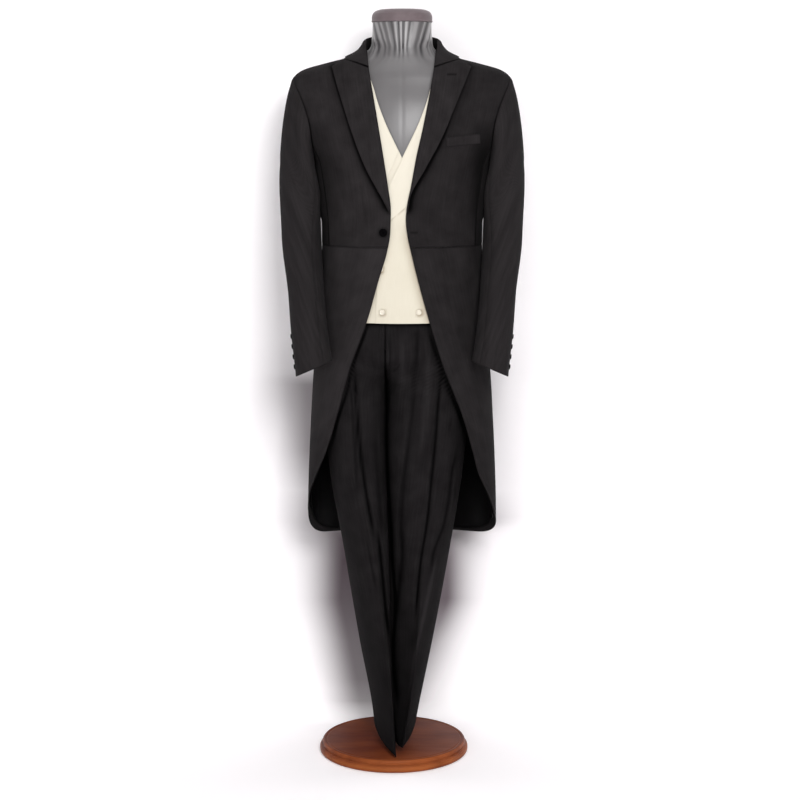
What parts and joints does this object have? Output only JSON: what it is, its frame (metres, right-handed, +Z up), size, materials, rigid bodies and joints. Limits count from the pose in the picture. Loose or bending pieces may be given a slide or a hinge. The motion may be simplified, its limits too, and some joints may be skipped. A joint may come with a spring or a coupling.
{
  "type": "morning suit on a dress form",
  "caption": "Morning suit of tailcoat, double-breasted waistcoat and trousers on a limbless dress form with a pole and a round wooden base.",
  "frame": {"origin": "on the underside of the round base, in the suit's plane of symmetry, below the form's neck", "axes": "+Z up, the suit faces -Y and the wearer's left side is +X"},
  "size_m": [0.5392, 0.3477, 1.651],
  "materials": {
    "coat_cloth": "matt wool",
    "trouser_cloth": "matt wool",
    "waistcoat_cloth": "fine wool",
    "black_lining": "satin lining",
    "horn_button": "satin",
    "shell_button": "satin",
    "form_satin": "satin",
    "form_cap": "matt",
    "varnished_wood": "varnished",
    "steel_pole": "brushed"
  },
  "bodies": {
    "root": {"coat_back_left": "coat_cloth", "coat_back_right": "coat_cloth", "coat_breast_welt": "coat_cloth", "coat_collar": "coat_cloth", "coat_forepart_left": "coat_cloth", "coat_forepart_right": "coat_cloth", "coat_front_button": "horn_button", "coat_lapel_left": "coat_cloth", "coat_lapel_right": "coat_cloth", "coat_sidebody_left": "coat_cloth", "coat_sidebody_right": "coat_cloth", "coat_skirt_left": "coat_cloth", "coat_skirt_right": "coat_cloth", "coat_topsleeve_left": "coat_cloth", "coat_topsleeve_right": "coat_cloth", "coat_undersleeve_left": "coat_cloth", "coat_undersleeve_right": "coat_cloth", "coat_waist_button_left": "horn_button", "coat_waist_button_right": "horn_button", "cuff_button_left_1": "horn_button", "cuff_button_left_2": "horn_button", "cuff_button_left_3": "horn_button", "cuff_button_left_4": "horn_button", "cuff_button_right_1": "horn_button", "cuff_button_right_2": "horn_button", "cuff_button_right_3": "horn_button", "cuff_button_right_4": "horn_button", "form_body": "form_satin", "form_cap": "form_cap", "stand_base": "varnished_wood", "stand_pole": "steel_pole", "tail_lining_left": "black_lining", "tail_lining_right": "black_lining", "trouser_back_left": "trouser_cloth", "trouser_back_right": "trouser_cloth", "trouser_front_left": "trouser_cloth", "trouser_front_right": "trouser_cloth", "trouser_waistband": "trouser_cloth", "waistcoat_back": "waistcoat_cloth", "waistcoat_button_left_1": "shell_button", "waistcoat_button_left_2": "shell_button", "waistcoat_button_left_3": "shell_button", "waistcoat_button_right_1": "shell_button", "waistcoat_button_right_2": "shell_button", "waistcoat_button_right_3": "shell_button", "waistcoat_front_left": "waistcoat_cloth", "waistcoat_front_right": "waistcoat_cloth", "waistcoat_lapel_left": "waistcoat_cloth", "waistcoat_lapel_right": "waistcoat_cloth"}
  },
  "joints": []
}
